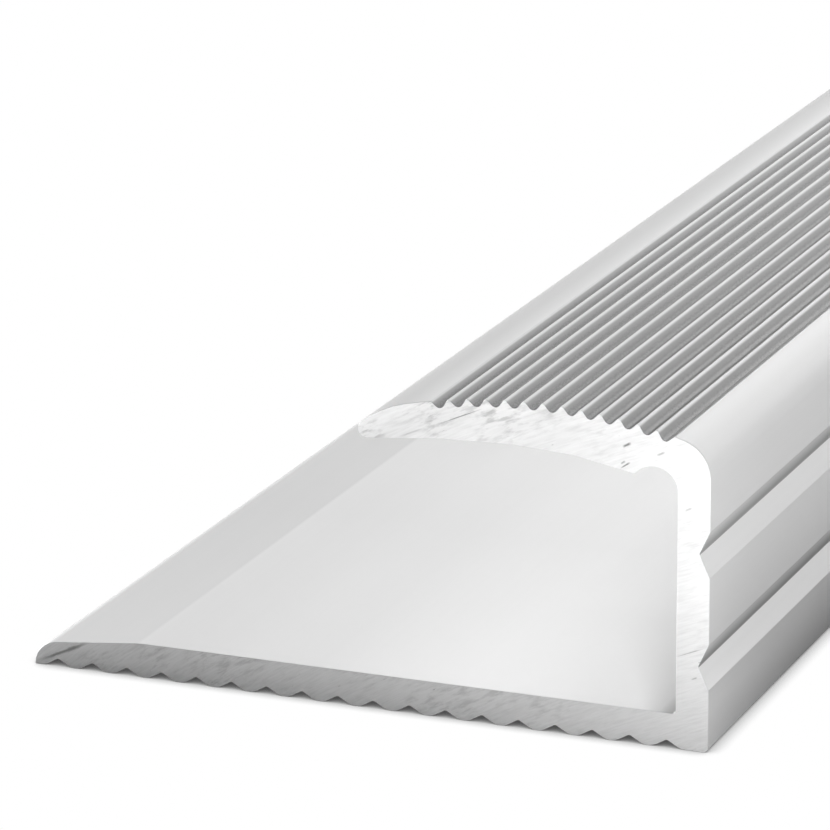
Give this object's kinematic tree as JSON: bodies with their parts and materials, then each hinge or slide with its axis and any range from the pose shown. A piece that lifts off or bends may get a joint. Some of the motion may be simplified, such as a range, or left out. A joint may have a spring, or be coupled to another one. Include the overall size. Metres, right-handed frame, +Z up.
{
  "type": "edge trim profile",
  "caption": "Long aluminium end profile for floor coverings: waved base flange, upright wall with V grooves and a crowned, ribbed top flange over an open slot.",
  "frame": {"origin": "on the floor, in the middle of the bar's footprint", "axes": "+Y along the bar, +X towards the outer face of the wall, +Z up from the waved underside to the crown"},
  "size_m": [0.0282, 0.9, 0.013],
  "materials": {
    "anodised_aluminium": "satin silver anodised, with bare saw-cut ends"
  },
  "bodies": {
    "root": {"trim_profile": "anodised_aluminium"}
  },
  "joints": []
}
